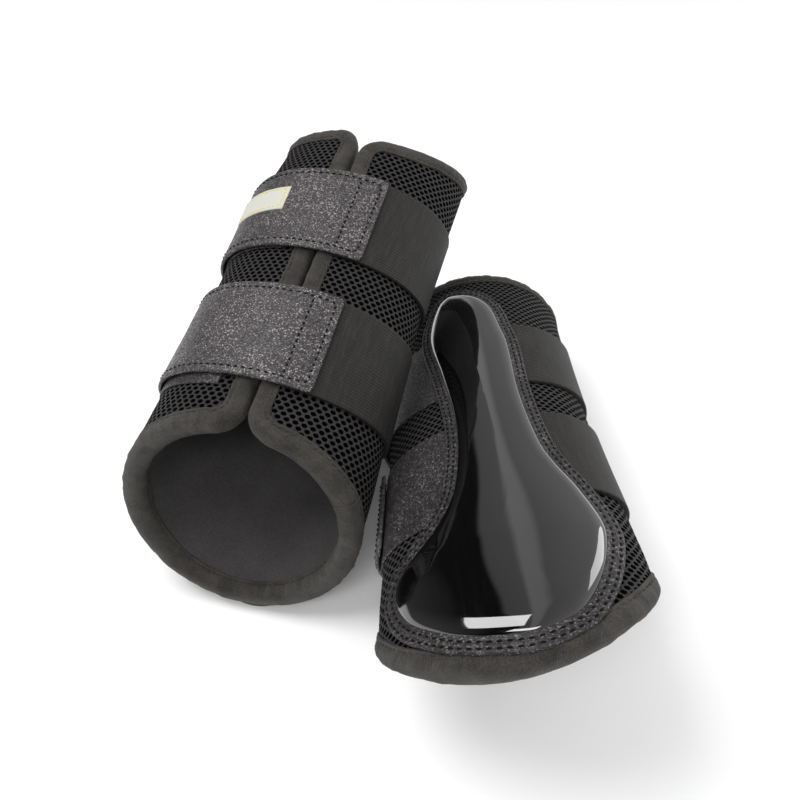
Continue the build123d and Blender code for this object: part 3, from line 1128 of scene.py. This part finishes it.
# ---- camera, floor and light, in metres
CAMERA_PLACE = (0.0159, -0.2908, 0.319)
CAMERA_DOWN = 42.0
LENS = 36.0
SENSOR = 36.0
FLOOR_REACH = 6.0
FLOOR_WHITE = 0.93
LIGHT_TARGET = (0, 0, 0.05)
# name, place, size and power in watts
LIGHTS = (
    ("top_left", (-0.75, 0.15, 1.35), (0.9, 0.9), 17),
    ("top_front", (-0.25, -0.97, 1.15), (0.8, 0.4), 8),
    ("rim", (1.15, 0.75, 0.75), (0.5, 0.9), 5),
)
# how bright the studio's walls are from the left (0) to the right (1)
WALL_LEVELS = [
    (0.0, 0.3), (0.2, 0.02), (0.3, 0.02), (0.315, 0.42), (0.39, 0.5), (0.41, 1.0), (0.46, 0.95),
    (0.49, 0.55), (0.7, 0.75), (1.0, 1.2),
]
WALL_STRENGTH = 0.85


def make_camera():
    data = bpy.data.cameras.new("camera")
    data.lens = LENS
    data.sensor_width = SENSOR
    camera = bpy.data.objects.new("camera", data)
    camera.location = CAMERA_PLACE
    camera.rotation_euler = (radians(90 - CAMERA_DOWN), 0, 0)
    bpy.context.scene.collection.objects.link(camera)
    bpy.context.scene.camera = camera


def make_floor():
    mesh = bpy.data.meshes.new("floor")
    corners = [(x * FLOOR_REACH, y * FLOOR_REACH, 0) for x, y in ((-1, -1), (1, -1), (1, 1), (-1, 1))]
    mesh.from_pydata(corners, [], [(0, 1, 2, 3)])
    floor = bpy.data.objects.new("floor", mesh)
    bpy.context.scene.collection.objects.link(floor)
    look = bpy.data.materials.new("floor")
    look.use_nodes = True
    shader = look.node_tree.nodes["Principled BSDF"]
    shader.inputs["Base Color"].default_value = (FLOOR_WHITE, FLOOR_WHITE, FLOOR_WHITE, 1)
    shader.inputs["Roughness"].default_value = 0.9
    mesh.materials.append(look)


def make_light(name, place, size, power):
    data = bpy.data.lights.new(name, "AREA")
    data.shape = "RECTANGLE"
    data.size, data.size_y = size
    data.energy = power
    light = bpy.data.objects.new(name, data)
    light.location = place
    light.rotation_euler = (Vector(LIGHT_TARGET) - Vector(place)).to_track_quat("-Z", "Y").to_euler()
    bpy.context.scene.collection.objects.link(light)


def make_world():
    """Pale studio walls for the pad's reflections, dark on the left and bright on the right."""
    world = bpy.data.worlds.new("studio")
    world.use_nodes = True
    tree = world.node_tree
    background = tree.nodes["Background"]
    way = tree.nodes.new("ShaderNodeTexCoord")
    split = tree.nodes.new("ShaderNodeSeparateXYZ")
    # from -1..1 across the sky to the ramp's 0..1
    shift = tree.nodes.new("ShaderNodeMath")
    shift.operation = "MULTIPLY_ADD"
    shift.inputs[1].default_value = 0.5
    shift.inputs[2].default_value = 0.5
    side = tree.nodes.new("ShaderNodeValToRGB")
    elements = side.color_ramp.elements
    while len(elements) < len(WALL_LEVELS):
        elements.new(0.5)
    for element, (place, level) in zip(elements, WALL_LEVELS):
        element.position = place
        element.color = (level, level, level, 1)
    tree.links.new(way.outputs["Generated"], split.inputs["Vector"])
    tree.links.new(split.outputs["X"], shift.inputs[0])
    tree.links.new(shift.outputs["Value"], side.inputs["Fac"])
    tree.links.new(side.outputs["Color"], background.inputs["Color"])
    background.inputs["Strength"].default_value = WALL_STRENGTH
    bpy.context.scene.world = world


make_camera()
make_floor()
for light_settings in LIGHTS:
    make_light(*light_settings)
make_world()
bpy.context.scene.view_settings.view_transform = "Standard"

bpy.context.view_layer.update()
